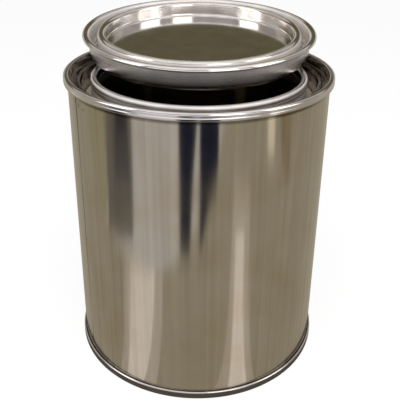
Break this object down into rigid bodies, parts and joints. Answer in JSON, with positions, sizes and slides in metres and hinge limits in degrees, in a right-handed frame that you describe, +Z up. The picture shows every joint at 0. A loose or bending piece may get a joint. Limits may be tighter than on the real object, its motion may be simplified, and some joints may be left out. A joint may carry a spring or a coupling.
{
  "type": "paint can",
  "caption": "Bare tinplate paint can with double-seamed ends and a friction groove round its mouth; the plug lid is pried out and lies on top.",
  "frame": {"origin": "on the can's axis, in the plane that its lower seam stands on", "axes": "+Z up along the can's axis; the loose lid is pushed back towards +Y, so -Y is the front"},
  "size_m": [0.108, 0.1283, 0.1378],
  "materials": {
    "body_tinplate": "bright tinplate, rolled lengthwise",
    "end_tinplate": "bright tinplate, stamped",
    "lid_tinplate": "bright tinplate, stamped",
    "sealing_compound": "matt",
    "stripe_lacquer": "golden lacquer"
  },
  "bodies": {
    "can": {"body": "body_tinplate", "bottom_end": "end_tinplate", "friction_ring": "end_tinplate", "upper_seam_compound": "sealing_compound", "lower_seam_compound": "sealing_compound", "side_stripe": "stripe_lacquer"},
    "lid": {"plug_lid": "lid_tinplate"}
  },
  "joints": [
    {"name": "lid_lift", "type": "slide", "parent": "can", "child": "lid", "axis": [0, 0, 1], "range_m": [0, 0.1]}
  ]
}
